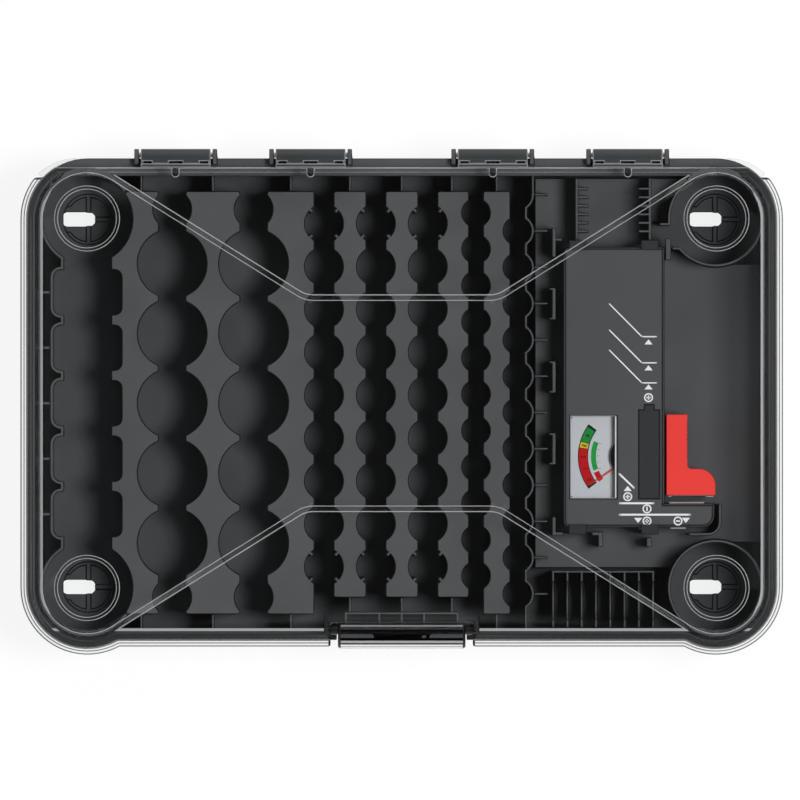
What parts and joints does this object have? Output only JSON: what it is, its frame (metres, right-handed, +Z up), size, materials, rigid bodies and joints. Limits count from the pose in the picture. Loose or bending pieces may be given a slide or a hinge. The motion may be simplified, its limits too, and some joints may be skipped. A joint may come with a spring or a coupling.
{
  "type": "battery storage case",
  "caption": "Shallow moulded case with standing pockets for household cells, a clear hinged lid with a flap latch, and a slide-arm battery tester with a needle meter.",
  "frame": {"origin": "middle of the four feet, on the plane they stand on", "axes": "+X along the long side towards the tester, +Y towards the hinges, +Z up out of the pockets"},
  "size_m": [0.3002, 0.1991, 0.0695],
  "materials": {
    "case_black": "satin moulded, fine grain",
    "tray_grey": "matte moulded",
    "clip_black": "matte moulded",
    "tester_grey": "matte moulded with white printed marks",
    "meter_black": "matte moulded",
    "leaf_black": "satin moulded",
    "pin_black": "satin",
    "lid_clear": "clear, polished",
    "latch_clear": "clear, polished",
    "window": "clear, polished",
    "arm_red": "satin moulded",
    "needle_red": "thin paint",
    "dial": "satin, printed scale",
    "contact": "nickel plated",
    "pin_steel": "drawn wire",
    "screw_steel": "zinc plated",
    "board": "phenolic board",
    "resistor": "baked enamel",
    "magnet": "ground",
    "copper": "enamelled wire on a small former"
  },
  "bodies": {
    "base": {"anvil_contact": "contact", "button_cell_rack": "tray_grey", "case_base": "case_black", "coin_cell_comb": "tray_grey", "front_d_cup": "tray_grey", "hinge_pin_1": "pin_steel", "hinge_pin_2": "pin_steel", "hinge_pin_3": "pin_steel", "hinge_pin_4": "pin_steel", "latch_bay_walls": "tray_grey", "load_board": "board", "load_resistors": "resistor", "meter_bridge": "meter_black", "meter_dial": "dial", "meter_frame": "meter_black", "meter_magnet": "magnet", "meter_window": "window", "rear_d_cup": "tray_grey", "square_cell_contacts": "contact", "square_cell_wall": "tray_grey", "tester_brackets": "tray_grey", "tester_clips": "clip_black", "tester_front_shell": "tester_grey", "tester_rear_shell": "tester_grey", "tester_screws": "screw_steel", "tester_shelf": "tray_grey", "tray_end_ribs": "tray_grey", "tray_side_ribs": "tray_grey", "wavy_wall": "tray_grey", "web_aa_left": "tray_grey", "web_aa_right": "tray_grey", "web_aa_to_aaa": "tray_grey", "web_aaa": "tray_grey", "web_c_to_aa": "tray_grey", "web_c_to_c": "tray_grey", "web_square_to_c": "tray_grey"},
    "lid": {"hinge_leaf_1": "leaf_black", "hinge_leaf_2": "leaf_black", "hinge_leaf_3": "leaf_black", "hinge_leaf_4": "leaf_black", "latch_pin": "pin_black", "lid_cover": "lid_clear"},
    "latch": {"latch_flap": "latch_clear"},
    "slider": {"slider_arm": "arm_red", "slider_contact": "contact"},
    "needle": {"meter_coil": "copper", "meter_needle": "needle_red"}
  },
  "joints": [
    {"name": "lid_hinge", "type": "hinge", "parent": "base", "child": "lid", "pos_m": [0, 0.0977, 0.049], "axis": [-1, 0, 0], "range_deg": [0, 110]},
    {"name": "latch_hinge", "type": "hinge", "parent": "lid", "child": "latch", "pos_m": [0, -0.0892, 0.057], "axis": [-1, 0, 0], "range_deg": [0, 90]},
    {"name": "slider_slide", "type": "slide", "parent": "base", "child": "slider", "axis": [0, 1, 0], "range_m": [0, 0.059]},
    {"name": "needle_hinge", "type": "hinge", "parent": "base", "child": "needle", "pos_m": [0.0907, -0.021, 0.038], "axis": [0, 0, -1], "range_deg": [0, 70.6], "stiffness_Nm_per_rad": 0.00002}
  ]
}
